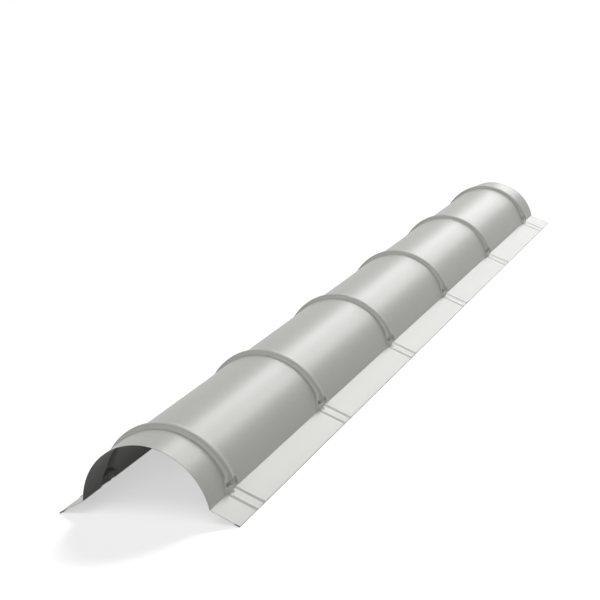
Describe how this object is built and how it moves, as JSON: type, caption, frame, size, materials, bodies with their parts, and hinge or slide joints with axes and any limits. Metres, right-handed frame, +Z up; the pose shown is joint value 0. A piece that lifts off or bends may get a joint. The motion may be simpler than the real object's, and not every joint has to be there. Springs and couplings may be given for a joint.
{
  "type": "roof ridge cap",
  "caption": "Half-round sheet-steel roof ridge cap with cross beads and two sloping hemmed flanges.",
  "frame": {"origin": "middle of the floor rectangle the cap stands on, at the level of the hems' lowest lines", "axes": "+Z up, +Y along the ridge, +X across it"},
  "size_m": [0.3138, 2, 0.1283],
  "materials": {
    "coated_steel": "smooth semi-gloss polymer coat, pale grey-white outside, dark grey coat inside, bare steel at the cut edges"
  },
  "bodies": {
    "root": {"ridge_cap": "coated_steel"}
  },
  "joints": []
}
